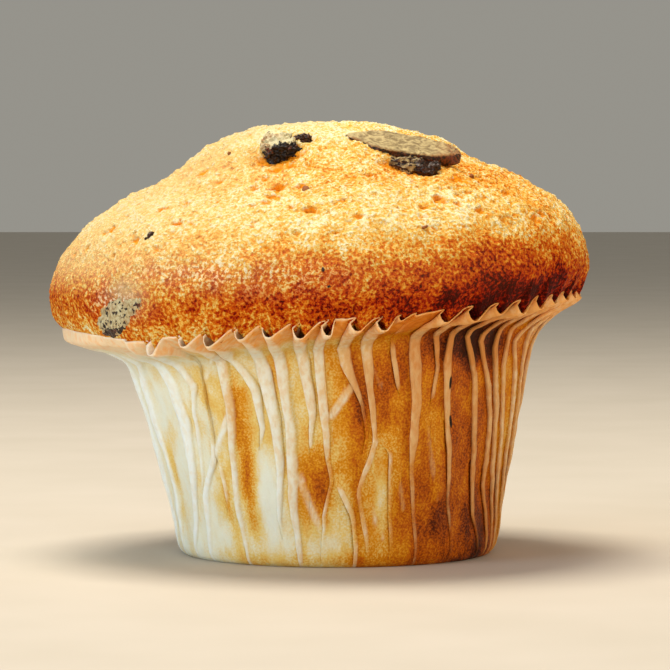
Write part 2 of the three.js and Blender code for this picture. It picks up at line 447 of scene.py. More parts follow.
def tear_hollows(cake, points):
    """Sinks the torn hollows and returns how deep each point lies in one."""
    chance = random.Random(11)
    hollows = list(HOLLOWS)
    for _ in range(LOOSE_HOLLOWS):
        tilt = math.degrees(math.acos(chance.uniform(math.cos(math.radians(LOWEST_HOLLOW)), 1)))
        width = chance.uniform(*LOOSE_WIDTH) * (1 if chance.random() < 0.85 else 1.5)
        hollows.append((chance.uniform(-180, 180), tilt, width, width * chance.uniform(*LOOSE_DEPTH)))
    outward = outward_of(points)
    depth = np.zeros(len(points))
    warp = 0.9 * np.stack([wobble(points, 1.1, 20 + axis) for axis in range(3)], axis=1)
    for turn, tilt, width, sink in hollows:
        centre = lean(dome_point(FRONT + turn, tilt))[0]
        near = np.abs(points - centre).max(axis=1) < 3 * width + 3
        reach = points[near] + warp[near] * min(width, 1.2) - centre
        reach -= outward[near] * (reach * outward[near]).sum(axis=1)[:, None]
        away = np.linalg.norm(reach * (1, 1, 1.5), axis=1) / width
        depth[near] = np.maximum(depth[near], sink * smooth(1.35 - away))
    place_points(cake, points_of(cake) - outward * depth[:, None])
    return depth


def make_cake():
    cake = shape_dome()
    roll_under(cake)
    upright = points_of(cake)
    above_rim = upright[:, 2] - rim_height(azimuth_of(upright))
    before = lean(upright)
    place_points(cake, before)
    height = before[:, 2]
    crown = group(cake, "crown", smooth((height - CROWN_FROM) / 10))
    skin = group(cake, "skin", smooth((above_rim + 0.5) / 2.5))
    relief(cake, 8.0, 0.9, skin)
    relief(cake, 2.8, 0.4, skin)
    relief(cake, 1.7, 0.7, crown, 1, "HARD_NOISE")
    relief(cake, 0.8, 0.36, skin, 1, "HARD_NOISE")
    apply_all(cake)
    cake.vertex_groups.clear()
    outward = outward_of(before)
    raised = ((points_of(cake) - before) * outward).sum(axis=1)
    mark(cake, "raised", raised - raised[height > CROWN_FROM].mean())
    torn = tear_hollows(cake, before)
    mark(cake, "torn", np.maximum(torn, 0.35 * open_pockets(cake, before)))
    mark(cake, "dry", dry_of(before))
    mark(cake, "bake", bake_of(before))
    mark(cake, "sheen_and_crumbs", sheen_and_crumbs_of(before))
    shade_smooth(cake)
    return cake


# ---- paper case

RIM_LEVEL = 41.0  # a level is a height up the wall, up to the crease at 33, and then out to the cut edge
CREASE_LEVEL = 33.0
LEVELS = (0, 0.3, 0.8, 1.5, *np.linspace(2.4, 33, 34), *np.linspace(33.5, RIM_LEVEL, 15))
WALL_DEPTH = 0.7  # how far a fold stands out
RIM_DEPTH = (0.7, 1.05)
WALL_TUCK = 0.18  # how far a panel runs in under the next fold
RIM_TUCK = 1.15
# How far the cut edge dips at a raised strip, as a share of its height, by degrees to the right of the front.
RIM_DIPS = ((-180, 1.6), (55, 1.6), (75, 0.6), (100, 0.6), (130, 1.6), (180, 1.6))

# One fold across, from its left edge to the next one's, as (share of its raised strip, share of the
# panel beyond it, share of the tuck under the next fold, height): on the wall, and at the cut edge.
WALL_SECTION = (
    (0, 0, 0, 0.9), (0.05, 0, 0, 1), (0.22, 0, 0, 1), (0.45, 0, 0, 0.96), (0.7, 0, 0, 0.9),
    (0.92, 0, 0, 0.82), (1.05, 0.02, 0, 0.5), (1.1, 0.07, 0, 0.15), (1, 0.22, 0, 0.03), (1, 0.42, 0, 0),
    (1, 0.66, 0, 0), (1, 0.86, 0, 0.01), (1, 1, 0.6, 0.05), (1, 1, 1, 0.22), (1, 1, 0.6, 0.6),
)
RIM_SECTION = (
    (0, 0, 0, 0.38), (0.14, 0, 0, 0.7), (0.4, 0, 0, 0.94), (0.75, 0, 0, 1), (1, 0.05, 0, 0.96),
    (1, 0.15, 0, 0.85), (1, 0.28, 0, 0.7), (1, 0.43, 0, 0.53), (1, 0.6, 0, 0.35), (1, 0.78, 0, 0.17),
    (1, 0.95, 0.25, 0.04), (1, 1, 0.8, 0), (1, 1, 1, 0.04), (1, 1, 0.85, 0.12), (1, 1, 0.45, 0.24),
)
# How pale the flared paper is across a fold: its raised strip is dry, and the panel beyond is soaked.
RIM_PALE = (1, 1, 1, 0.9, 0.65, 0.25, 0.05, 0, 0, 0, 0, 0.25, 0.6, 0.8, 0.9)
SMOOTH_SIDE = (-88.0, 8.0, 20.0)  # where the cut edge lies flat: its middle, half width and fade, in degrees

# The folds across the front: level, degrees to the right of the front, and width of the raised strip.
FRONT_FOLDS = (
    ((41, -78, 0), (36, -76, 0), (33.5, -74, 1), (20, -77, 1.2), (2, -80, 0.5)),
    ((41, -66, 0), (36.5, -65, 0), (33.5, -63, 0.9), (29, -68, 1.4), (23, -69.5, 1.5), (18, -67.5, 0.6),
     (10, -68.5, 0.6), (2, -71, 0.5)),
    ((41, -56, 0), (37, -55, 0.2), (34, -55, 1.3), (29, -52, 2.2), (23, -51.5, 1.8), (15, -52, 0.9),
     (8, -56, 0.7), (2, -60, 0.5)),
    ((41, -47, 0.3), (34, -47.5, 1.2), (29, -41.5, 0.8), (25, -44.3, 0.5), (14.5, -47.4, 0.4), (11, -50.5, 0),
     (2, -55, 0)),
    ((41, -40.4, 1.4), (34, -36.5, 0.8), (24, -38, 0.8), (18, -40.2, 0.8), (12, -48, 0.7), (2, -51, 0.5)),
    ((41, -36, 0), (18, -38.6, 0), (16, -38.2, 0.5), (12, -37.5, 0.4), (9, -38, 0), (2, -40, 0)),
    ((41, -32, 1.4), (34, -31, 1.6), (26, -30.8, 1.2), (19, -32.7, 0.8), (9, -34, 0.6), (2, -33, 0.4)),
    ((41, -26, 1.2), (34, -27.5, 1), (28, -21.6, 1.1), (22, -21, 0.5), (18, -22.5, 0), (2, -24, 0)),
    ((41, -18.8, 1.3), (34, -19.5, 1.4), (30, -19.2, 1.9), (23, -17.4, 1.4), (15, -17, 0.8), (8, -18.8, 0.4),
     (4, -18, 0), (2, -18, 0)),
    ((41, -12.9, 1.3), (35, -14, 1.3), (28, -13.6, 1.3), (22, -12.8, 1.1), (17, -13.4, 1.4), (11, -14, 0.9),
     (1, -13.2, 0.5)),
    ((41, -6.4, 1.3), (34, -8, 1.5), (27, -6.6, 1.3), (23, -5.6, 0.7), (19, -6.4, 0.4), (17.5, -6.4, 0),
     (2, -9, 0)),
    ((41, -0.3, 1.3), (34, -3, 1.9), (28, -3, 1.6), (22, -2.3, 0.9), (16.5, -1.5, 0.4), (13, -0.4, 0.4),
     (8, -3.6, 0.35), (2, -5, 0.3)),
    ((41, 2.5, 0), (33, 0.4, 0), (13.4, 0.8, 0), (12, 1.6, 0.6), (8, 5.3, 0.7), (6.5, 6, 0.4), (2, 6.2, 0.4)),
    ((41, 5.5, 1.4), (33, 3.2, 1.6), (30, 4.2, 1.4), (27, 6.8, 0.7), (24, 9.5, 0.3), (19, 10.8, 0.25),
     (15, 9, 0), (9, 7, 0), (2, 8.2, 0)),
    ((41, 11.3, 1.4), (34, 9.4, 1.7), (30, 10, 1.5), (26.5, 11.1, 0.8), (18.5, 13, 0.6), (15, 10.4, 0.8),
     (11.2, 7.7, 0.5), (2, 10.6, 0.3)),
    ((41, 16, 0.45), (33, 14, 0), (18.6, 14.2, 0), (16.6, 17.8, 0.4), (8, 18.5, 0.3), (2, 18.8, 0.3)),
    ((41, 20, 0.25), (34, 17.8, 0.3), (31, 18.2, 0.5), (26, 19.8, 0.45), (24, 21.5, 0), (2, 23, 0)),
    ((41, 25.4, 1.5), (34, 23.2, 1.7), (27, 23.8, 1.7), (23.5, 24.8, 1.4), (18, 24.2, 1), (14, 25, 0.4),
     (2, 28.5, 0.3)),
    ((41, 32.6, 1.2), (34, 30.2, 0.9), (28, 32.4, 0.5), (24, 31.2, 0.4), (22.5, 30.8, 0), (2, 34, 0)),
    ((41, 40.2, 1.2), (34, 36, 1), (28, 34.5, 1.1), (22, 35.8, 0.8), (14, 39, 0.5), (8, 41, 0.3),
     (2, 44, 0.3)),
    ((41, 46.7, 1.2), (34, 43.5, 0.8), (32, 41.8, 0.8), (26, 46.2, 0.9), (12, 50.5, 0.7), (6, 53.5, 0.5),
     (2, 60, 0.3)),
    ((41, 53.7, 1.2), (34, 51, 0.8), (31.5, 47.5, 0.8), (26, 51.8, 0.8), (20, 56, 0.8), (10, 58, 0.7),
     (2, 67, 0.4)),
    ((41, 60.2, 1.2), (34, 56.5, 0.8), (30, 54.2, 0.9), (24, 57, 0.9), (12, 62.5, 0.8), (2, 72, 0.4)),
    ((41, 66.9, 1.2), (34, 62.3, 0.8), (28, 60, 0.9), (12, 67, 0.8), (2, 77, 0.4)),
    ((41, 73, 1.2), (34, 69, 0.9), (31, 65.5, 0.9), (26, 70, 0.9), (16, 72, 0.8), (2, 83, 0.4)),
    ((41, 79, 1.2), (33, 74, 0.9), (20, 77, 0.9), (2, 89, 0.4)),
)
BACK_FOLDS = 30
BACK_FROM, BACK_TO = 83.0, 266.0
BACK_FOLD = ((41, 1.2), (33, 1.2), (25, 1.1), (15, 0.8), (2, 0.4))  # level and width of the raised strip
BACK_DRIFT = (-1.4, 1.4)  # degrees that a fold at the back strays
BACK_WIDTH = (0.7, 1.3)  # how its width varies
# Waves in the paper: height, size, and how much they are drawn out upwards.
PAPER_WAVES = ((0.26, 5.0, 0.45), (0.09, 1.8, 0.6))

# Creases across the panels: level and degrees at each end, half width, height.
CREASES = (
    (27, 7, 23, 0.5, 0.8, 0.5), (33.5, -32, 30, -36.5, 0.6, 0.4), (24, -31.5, 18, -39.5, 0.8, 0.5),
    (19.5, -6.5, 17, -3.5, 0.4, 0.25), (30, 12, 26, 15.5, 0.7, 0.2), (16, 20, 8, 23.5, 0.9, 0.25),
    (20, 30, 9, 36, 1, 0.3), (14, -10, 6, -5, 1, 0.3), (9, 12, 4, 16.5, 0.8, 0.3),
)


def case_line(azimuth, level):
    """Radius and height of the unpleated case at a level."""
    beyond = level - CREASE_LEVEL
    soft = mix(*CREASE_SOFT, smooth((towards(azimuth, 0.0) - 0.88) * 9))
    out = (np.sqrt(beyond ** 2 + soft ** 2) + beyond) / 2
    under = (np.sqrt(beyond ** 2 + soft ** 2) - beyond) / 2
    up = np.clip(1 - under / CREASE_LEVEL, 0, 1)
    share = np.clip(out / (RIM_LEVEL - CREASE_LEVEL), 0, None)
    crease, rim = crease_height(azimuth), rim_height(azimuth)
    leftness = np.clip(towards(azimuth, 180.0), 0, 1)
    bent = share / UPRIGHT_FROM
    bent = (bent + 1 - np.sqrt((bent - 1) ** 2 + UPRIGHT_SOFT)) / 2
    spread = mix(share, bent, read_off(RIM_TURN_UP, turn_of(azimuth)))
    radius = mix(BASE_RADIUS, CREASE_RADIUS, up ** WALL_FLARE)
    rim_radius = RIM_RADIUS + RIM_REACH * towards(azimuth, 180.0)
    radius = radius + (rim_radius - CREASE_RADIUS) * spread
    radius = radius - WALL_HOLLOW * leftness * np.sin(np.pi * np.clip(level / CREASE_LEVEL, 0, 1))
    radius = radius - WALL_DEPTH * smooth(level / 8) * (1 - smooth(share))
    turn = np.clip(1 - level / BASE_TURN, 0, 1)
    radius = radius - BASE_TURN * (1 - np.sqrt(1 - turn ** 2)) * 0.8
    return radius, crease * up + (rim - crease) * share


def fold_table():
    """Azimuth, strip width and depth of every fold at every level, in order round the case."""
    chance = random.Random(7)
    folds = list(FRONT_FOLDS)
    for number in range(BACK_FOLDS):
        middle = mix(BACK_FROM, BACK_TO, (number + 0.5) / BACK_FOLDS)
        folds.append([(level, middle + chance.uniform(*BACK_DRIFT), width * chance.uniform(*BACK_WIDTH))
                      for level, width in BACK_FOLD])
    levels = np.array(LEVELS)
    flare = smooth((levels - CREASE_LEVEL + 1) / (RIM_LEVEL - CREASE_LEVEL + 1))
    middle, half, fade = SMOOTH_SIDE
    rows = []
    for fold in folds:
        bends, turns, strips = zip(*fold[::-1])
        along = np.stack([np.full(len(levels), 9.0 * len(rows)), levels, np.zeros(len(levels))], axis=1)
        turn = np.interp(levels, bends, turns) + 0.2 * wobble(along, 3.0, 6)
        strip = np.interp(levels, bends, strips) * (1 + 0.2 * wobble(along, 2.6, 8))
        flat = 1 - smooth((np.abs((turn - middle + 180) % 360 - 180) - half) / fade)
        depth = mix(WALL_DEPTH, chance.uniform(*RIM_DEPTH) * (1 - flat), flare)
        rows.append((turn, strip, smooth(strip) * depth * smooth(levels / 4.5)))
    table = np.array(rows)
    around = table[:1].copy()
    around[0, 0] += 360
    return np.concatenate([table, around])


def along_wall(turn):
    """How far round the wall a place lies from the front."""
    return np.radians(turn) * CREASE_RADIUS * WALL_SHARE


def crease_relief(azimuth, level):
    """How far the creases across the panels lift the paper."""
    lift = np.zeros_like(level)
    along = along_wall(turn_of(azimuth))
    for level_a, turn_a, level_b, turn_b, width, height in CREASES:
        ax, bx = along_wall(turn_a), along_wall(turn_b)
        length = math.hypot(bx - ax, level_b - level_a)
        ux, uy = (bx - ax) / length, (level_b - level_a) / length
        t = np.clip((along - ax) * ux + (level - level_a) * uy, 0, length)
        gap = np.hypot(along - ax - t * ux, level - level_a - t * uy)
        lift = np.maximum(lift, height * np.clip(1 - gap / width, 0, 1))
    return lift


# Where the cake shows brown through the paper, or doesn't: level, degrees, half height, half width, change.
# Two of them are partly painted shade: the dark band at level 31.5 under the flare at the right, and the
# brown line along the sole at level 1.
STAINS = (
    (19, -28, 11, 2.8, 0.42), (9, -21, 9, 3.6, -0.3), (11, -37, 6, 3, 0.2), (13, -4, 4, 4.5, 0.3),
    (3, -2, 4, 8, -0.18), (22, 9, 6, 2.4, 0.28), (9, 7.5, 6, 1.5, 0.25), (31, 6.5, 4, 2, 0.2),
    (27, 15, 8, 3.5, 0.14), (11, 15.5, 6, 2.5, -0.3), (22, 24, 10, 3, 0.1), (5, 34, 4, 7, 0.18),
    (15, -64, 5, 2, 0.25), (28, -40, 5, 5, 0.12), (31.5, 46, 3.2, 15, 0.5), (2, 60, 9, 11, 0.36),
    (18, 48, 7, 9, 0.1), (1, 0, 1.2, 40, 0.15), (18, 68, 12, 9, -0.1),
)

# How brown the paper is between them, by degrees to the right of the front.
STAIN_SIDE = (
    (-180, 0.4), (-120, 0.25), (-80, 0.1), (-45, 0.13), (-20, 0.28), (5, 0.4), (20, 0.56), (40, 0.62),
    (80, 0.56), (130, 0.52), (180, 0.45),
)


def stain_of(azimuth, level):
    """How brown the paper is: pale at the left, deep at the right, and in patches."""
    turn = turn_of(azimuth)
    stain = read_off(STAIN_SIDE, turn)
    for middle, side, tall, wide, change in STAINS:
        away = ((level - middle) / tall) ** 2 + ((turn - side) / wide) ** 2
        stain = stain + change * np.exp(-0.8 * away)
    return np.clip(stain, 0, 1)


def case_surface(fold, step, row):
    """Azimuth, radius and height of the pleated case's points, with their level and how dry they are."""
    table = fold_table()
    closing = fold == len(table) - 1
    fold = np.where(closing, 0, fold)
    level = np.array(LEVELS)[row]
    flare = smooth((level - CREASE_LEVEL + 2) / (RIM_LEVEL - CREASE_LEVEL + 2))
    section = mix(np.array(WALL_SECTION)[step], np.array(RIM_SECTION)[step], flare[:, None])
    turn, strip, depth = table[fold, :, row].T
    next_turn, _, next_depth = table[fold + 1, :, row].T
    depth = mix(depth, next_depth, smooth((step - 7) / 5))
    azimuth = FRONT + turn
    radius, height = case_line(azimuth, level)
    cell = np.radians(next_turn - turn) * radius
    strip = np.minimum(strip, cell * 0.6)
    tuck = mix(WALL_TUCK, RIM_TUCK, flare) * np.minimum(next_depth, 1)
    across = strip * section[:, 0] + (cell - strip) * section[:, 1] + tuck * section[:, 2]
    azimuth = azimuth + np.degrees(across / radius)

    radius, height = case_line(azimuth, level)
    radius_up, height_up = case_line(azimuth, level + 0.2)
    away = np.stack([height_up - height, radius - radius_up], axis=1)
    away /= np.linalg.norm(away, axis=1)[:, None]
    smooth_points = round_the_axis(azimuth, radius, height)
    creases = crease_relief(azimuth, level)
    lift = depth * section[:, 3] + creases * (1 - section[:, 3])
    quiet = smooth(level / 5)
    for seed, (wave, size, share) in enumerate(PAPER_WAVES, 1):
        lift = lift + wave * wobble(smooth_points * (1, 1, share), size, seed) * quiet
    radius = radius + lift * away[:, 0]
    dip = read_off(RIM_DIPS, turn_of(azimuth)) * depth * section[:, 3]
    dip = dip * smooth((level - CREASE_LEVEL - 3) / 5)
    height = np.maximum(height + lift * away[:, 1] - dip, 0)
    pale = mix(section[:, 3], np.array(RIM_PALE)[step], smooth((flare - 0.3) / 0.4)) * smooth(strip / 0.7)
    pale = np.maximum(pale, 0.8 * smooth((level - RIM_LEVEL + 0.9) / 0.8))
    lifted = np.clip(pale + creases * 2, 0, 1)
    return azimuth, radius, height, level, lifted


# How many degrees to each side the cake's lip looks for the cut edge's innermost and highest points. It looks
# less far for the highest at the front, and so dips into each fold's notch.
EDGE_REACH = 0.6
EDGE_REACH_UP = ((-65, 0.6), (-50, 0.2), (12, 0.2), (25, 0.6))


def inner_edge():
    """The innermost line along the case's cut edge, as functions of azimuth: its radius and its height."""
    columns = np.arange((len(fold_table()) - 1) * len(WALL_SECTION))
    fold, step = np.divmod(columns, len(WALL_SECTION))
    azimuth, radius, height, _, _ = case_surface(fold, step, np.full(len(columns), len(LEVELS) - 1))
    places = np.arange(-180, 180.25, 0.25)
    gap = np.abs((azimuth - places[:, None] + 180) % 360 - 180)
    nearest = gap.min(axis=1)[:, None] + 0.01
    reach_up = read_off(EDGE_REACH_UP, turn_of(places))[:, None]
    inner = np.where(gap < np.maximum(EDGE_REACH, nearest), radius, 2 * RIM_RADIUS).min(axis=1)
    upper = np.where(gap < np.maximum(reach_up, nearest), height, 0).max(axis=1)
    return (lambda at: np.interp(at, places, inner)), (lambda at: np.interp(at, places, upper))


def make_case():
    folds, steps = len(fold_table()) - 1, len(WALL_SECTION)
    columns, rows = folds * steps, len(LEVELS) - 1
    bpy.ops.mesh.primitive_grid_add(x_subdivisions=columns, y_subdivisions=rows, size=1, location=(0, 0, 0))
    case = added("pleated_case")
    flat = points_of(case) * MM
    column = np.rint((flat[:, 0] + 0.5) * columns).astype(int)
    row = np.rint((flat[:, 1] + 0.5) * rows).astype(int)
    fold, step = np.divmod(column, steps)
    azimuth, radius, height, level, lifted = case_surface(fold, step, row)
    place_points(case, lean(round_the_axis(azimuth, radius, height)))
    mark(case, "lifted", lifted)
    mark(case, "stain", stain_of(azimuth, level))
    mark(case, "flare", smooth((level - CREASE_LEVEL - 1.5) / 3))
    with editing(case):
        bpy.ops.mesh.remove_doubles(threshold=0.00001)
    close_sole(case)
    wall = case.modifiers.new("paper", "SOLIDIFY")
    wall.thickness = PAPER * MM
    wall.offset = -1
    apply_all(case)
    return case


def close_sole(case):
    """Draws the lowest ring of the case inwards and closes the flat sole."""
    with editing(case, "DESELECT"):
        pass  # nothing stays selected but the lowest ring, which comes next
    case.data.vertices.foreach_set("select", points_of(case)[:, 2] < 0.01)
    with editing(case, ""):
        bpy.ops.mesh.extrude_edges_move()
        bpy.ops.transform.resize(value=(0.9, 0.9, 1), center_override=(0, 0, 0))
        bpy.ops.mesh.edge_face_add()
        bpy.ops.mesh.select_all(action="SELECT")
        bpy.ops.mesh.normals_make_consistent(inside=False)
        bpy.ops.mesh.faces_shade_smooth()


# ---- chocolate

CHUNK_CUTS = (8, 5)

# Blocks of chocolate: half sizes, middle, and the directions that their length and their top take.
WAFER = ((9.1, 3.9, 1.1), (10.1, -16.15, 64.9), (0.988, 0.0, -0.15), (0.144, -0.378, 0.914))
WAFER_LUMP = ((5.8, 2.7, 2.0), (10.6, -19.2, 62.4), (0.988, 0.0, -0.15), (0.2, -0.55, 0.83))
NUGGET = ((3.3, 3.4, 2.7), (-9.0, -16.5, 64.5), (1, 0.1, 0.12), (-0.16, -0.42, 0.9))
NUGGET_ARM = ((2.3, 1.4, 1.3), (-6.0, -16.6, 66.0), (1, 0.15, 0.22), (-0.1, -0.35, 0.93))
RIM_CHUNK = ((6.5, 2.9, 1.6), (-33.0, -29.0, 39.7), (0.555, -0.75, 0.36), (-0.71, -0.66, -0.23))


def rounded_block(name, half_sizes, outline, faces):
    """A cube cut fine and swelled to a block with a round outline and flattish top and bottom."""
    bpy.ops.mesh.primitive_cube_add(size=2 * MM, location=(0, 0, 0))
    block = added(name)
    cut_to_ball(block, CHUNK_CUTS)
    ball = points_of(block)
    ball /= np.linalg.norm(ball, axis=1)[:, None]
    x, y, z = np.abs(ball).T
    swell = ((x ** outline + y ** outline) ** (faces / outline) + z ** faces) ** (-1 / faces)
    place_points(block, ball * swell[:, None] * half_sizes)
    return block


def seat(piece, centre, along, up):
    """Turns a piece so that its X and Z run along and up, and puts it at its place."""
    up = Vector(up).normalized()
    across = up.cross(Vector(along)).normalized()
    along = across.cross(up)
    turned = Matrix((along, across, up)).transposed().to_4x4()
    piece.matrix_world = Matrix.Translation(Vector(centre) * MM) @ turned
    pick(piece)
    bpy.ops.object.transform_apply(location=True, rotation=True, scale=True)


def broken(block, coarse, fine):
    """Breaks the block's surface up."""
    relief(block, 2.2, coarse, kind="HARD_NOISE")
    relief(block, 0.7, fine, "", 1, "HARD_NOISE")
    apply_all(block)


def joined(name, *parts):
    pick(parts[0])
    for part in parts:
        part.select_set(True)
    bpy.ops.object.join()
    piece = added(name)
    shade_smooth(piece)
    return piece


def make_wafer():
    """A flat dull flake of chocolate lying in the crown, over the broken lump that it came off."""
    flake = rounded_block("flake", WAFER[0], 2.5, 7.0)
    points = points_of(flake)
    along, across, up = (points / WAFER[0]).T
    points[:, 1] *= 1 - 0.2 * smooth(along) - 0.45 * smooth(-2.2 * along - 1.1)
    points[:, 1] += 0.5 * along ** 2
    points[:, 2] += 0.12 * wobble(points, 3.0, 41) + 0.25 * across ** 2
    ragged = np.stack([wobble(points, 2.6, 42), wobble(points, 2.6, 43)], axis=1)
    points[:, :2] += 0.35 * ragged * np.hypot(along, across)[:, None] ** 3
    place_points(flake, points)
    relief(flake, 1.3, 0.16)
    apply_all(flake)
    mark(flake, "film", smooth((up - 0.45) / 0.4) * mix(1, 0.55, smooth((along - 0.5) / 0.4)))
    # The warm ring along the flake's edge is a painted highlight; the right end is a warmer brown.
    mark(flake, "warm", smooth((along - 0.45) / 0.5) + 0.6 * smooth((np.hypot(along, across) - 0.93) / 0.1))
    seat(flake, *WAFER[1:])
    lump = rounded_block("lump", WAFER_LUMP[0], 2.4, 3.0)
    points = points_of(lump)
    points[:, 1:] *= mix(0.4, 1, smooth((points[:, :1] + WAFER_LUMP[0][0]) / 6.5))
    place_points(lump, points)
    broken(lump, 1.4, 0.6)
    points = points_of(lump)
    side = points[:, 0] + 0.9 * wobble(points, 1.5, 44)
    cracks = smooth(3 * np.abs(wobble(points * (1, 2, 2), 1.7, 50)) - 0.1)
    mark(lump, "film", 0.75 * smooth((2.2 - side) / 1.4) * cracks)
    mark(lump, "warm", 0.25)
    seat(lump, *WAFER_LUMP[1:])
    return joined("chocolate_flake", flake, lump)


def make_lump():
    """A broken lump with a glossy black front and a pale flat top, set in a pocket of the crown."""
    body = rounded_block("body", NUGGET[0], 2.6, 3.4)
    broken(body, 1.9, 0.7)
    points = points_of(body)
    rim = points[:, 1] + 0.5 * wobble(points, 1.4, 45)
    mark(body, "film", smooth((points[:, 2] - 0.7) / 0.6) * smooth((rim + 2.0) / 0.8))
    mark(body, "warm", smooth((points[:, 2] - 1.0) / 0.8) * smooth(wobble(points, 1.6, 46) * 2))
    seat(body, *NUGGET[1:])
    arm = rounded_block("arm", NUGGET_ARM[0], 2.2, 2.5)
    broken(arm, 1.1, 0.6)
    mark(arm, "film", 0.08)
    mark(arm, "warm", 0.4)
    seat(arm, *NUGGET_ARM[1:])
    return joined("chocolate_nugget", body, arm)


def make_rim_chunk():
    """A chunk under the crust's edge, with a dull film that is pitted down to the black."""
    chunk = rounded_block("chocolate_under_crust", RIM_CHUNK[0], 2.2, 3.4)
    points = points_of(chunk)
    along, across, _ = points.T
    points[:, 2] -= along ** 2 / 200 + across ** 2 / 22
    points[:, 1] *= mix(1.1, 0.72, smooth((along + 4) / 9))
    place_points(chunk, points)
    relief(chunk, 2.0, 0.5)
    relief(chunk, 0.7, 0.4, "", 1, "HARD_NOISE")
    apply_all(chunk)
    points = points_of(chunk)
    pits = wobble(points, 0.62, 47)
    low = smooth((-points[:, 1] - 0.25 * points[:, 0] + 0.6 * wobble(points, 1.5, 48) - 1.0) / 1.6)
    mark(chunk, "film", np.clip(1 - smooth((pits - 0.15 + 0.65 * low) * 4), 0, 1))
    mark(chunk, "warm", 0.15 + 0.5 * smooth((wobble(points, 2.2, 49) - 0.2) * 3))
    seat(chunk, *RIM_CHUNK[1:])
    shade_smooth(chunk)
    return chunk


# Specks of chocolate on the crust: degrees to the right of the front, tilt, and size across, up and out.
SPECKS = (
    (-40.5, 64, 0.75, 1.2, 0.7), (-41.5, 65.2, 0.5, 0.55, 0.5), (-2, 47, 1.2, 1.9, 0.6),
    (24, 69.5, 0.9, 0.35, 0.5), (53, 45.5, 0.7, 0.6, 0.5), (-87.5, 58.5, 1, 0.6, 0.5),
    (-43, 26, 0.5, 0.5, 0.4), (1, 82, 0.5, 0.7, 0.5), (2, 88, 0.5, 0.6, 0.5), (-29, 18, 0.9, 0.8, 0.5),
    (120, 40, 1.2, 0.9, 0.7), (150, 62, 0.8, 1.1, 0.6), (-150, 52, 0.9, 0.7, 0.6), (-120, 70, 0.8, 1, 0.6),
    (175, 30, 0.9, 1.2, 0.6), (95, 66, 0.7, 0.6, 0.5),
)
RUSTY_SPECKS = (2, 3, 4, 6)  # those of them with a warm brown film, counted from 0
SPECK_SWELL = 1.2  # makes up for what a speck loses when its ball is broken


def make_specks():
    """Small bits of chocolate, each broken differently, set in the crust."""
    chance = random.Random(5)
    specks = []
    for number, (turn, tilt, across, up, out) in enumerate(SPECKS):
        bpy.ops.mesh.primitive_ico_sphere_add(subdivisions=3, radius=MM, location=(0, 0, 0))
        speck = added(f"speck_{number}")
        points = points_of(speck)
        points *= 1 + 0.35 * wobble(points, 0.9, number)[:, None]
        place_points(speck, points * (across / 2 * SPECK_SWELL, up / 2 * SPECK_SWELL, out))
        place = lean(dome_point(FRONT + turn, tilt))[0]
        outward = outward_of(place[None])[0]
        along = Vector(outward).cross(Vector((chance.uniform(-0.3, 0.3), 0, -1)))
        seat(speck, place - 0.25 * outward, along, outward)
        rusty = number in RUSTY_SPECKS
        mark(speck, "film", 0.7 if rusty else 0.05)
        mark(speck, "warm", 1.0 if rusty else 0.3)
        specks.append(speck)
    return joined("chocolate_specks", *specks)


# ---- finishes


class Finish:
    """A material with the nodes of one finish."""

    def __init__(self, name):
        self.material = bpy.data.materials.new(name)
        self.material.use_nodes = True
        self.tree = self.material.node_tree
        self.shader = self.tree.nodes["Principled BSDF"]
        self.place = self.node("TexCoord").outputs["Object"]

    def node(self, kind, settings=(), values=(), **inputs):
        """A node with its settings, its first inputs in order, and others by name."""
        made = self.tree.nodes.new("ShaderNode" + kind)
        for key, value in dict(settings).items():
            setattr(made, key, value)
        for socket, value in zip(made.inputs, values):
            self.feed(socket, value)
        self.fill(made, inputs)
        return made

    def fill(self, node, inputs):
        for key, value in inputs.items():
            self.feed(node.inputs[key.replace("_", " ")], value)

    def feed(self, socket, value):
        if isinstance(value, bpy.types.NodeSocket):
            self.tree.links.new(value, socket)
        else:
            socket.default_value = value

    def set(self, **inputs):
        self.fill(self.shader, inputs)

    def value(self, attribute):
        return self.node("Attribute", {"attribute_name": attribute}).outputs["Fac"]

    def noise(self, size, detail=2.0, stretch=(1, 1, 1), rough=0.5, swirl=0.0):
        place = self.node("Mapping", Vector=self.place, Scale=stretch).outputs["Vector"]
        return self.node("TexNoise", Vector=place, Scale=1 / (size * MM), Detail=detail, Roughness=rough,
                         Distortion=swirl).outputs["Fac"]

    def spot(self, centre, reach, turn=0.0):
        """One at a centre and nothing beyond the reach, which is given across, through and up."""
        turned = (0.0, math.radians(turn), 0.0)
        place = self.node("Mapping", {"vector_type": "TEXTURE"}, Vector=self.place, Rotation=turned,
                          Location=Vector(centre) * MM, Scale=Vector(reach) * MM).outputs["Vector"]
        away = self.node("VectorMath", {"operation": "LENGTH"}, Vector=place).outputs["Value"]
        return self.between(away, 1.0, 0.75)

    def maths(self, operation, a, b=0.5, c=0.5):
        return self.node("Math", {"operation": operation}, (a, b, c)).outputs["Value"]

    def between(self, value, low, high, to_low=0.0, to_high=1.0):
        """The value brought from one span to another, and held inside it."""
        spans = (value, low, high, to_low, to_high)
        return self.node("MapRange", {"interpolation_type": "SMOOTHSTEP"}, spans).outputs["Result"]

    def ramp(self, value, *stops):
        made = self.node("ValToRGB", Fac=value)
        while len(made.color_ramp.elements) < len(stops):
            made.color_ramp.elements.new(1.0)
        for element, (position, code) in zip(made.color_ramp.elements, stops):
            element.position = position
            element.color = colour(code)
        return made.outputs["Color"]

    def blend(self, share, a, b):
        made = self.node("Mix", {"data_type": "RGBA"})
        for socket, value in zip((made.inputs[0], made.inputs[6], made.inputs[7]), (share, a, b)):
            self.feed(socket, colour(value) if isinstance(value, str) else value)
        return made.outputs[2]

    def bump(self, height, strength, distance, normal=None):
        under = {"Normal": normal} if normal else {}
        return self.node("Bump", Height=height, Strength=strength, Distance=distance * MM,
                         **under).outputs["Normal"]


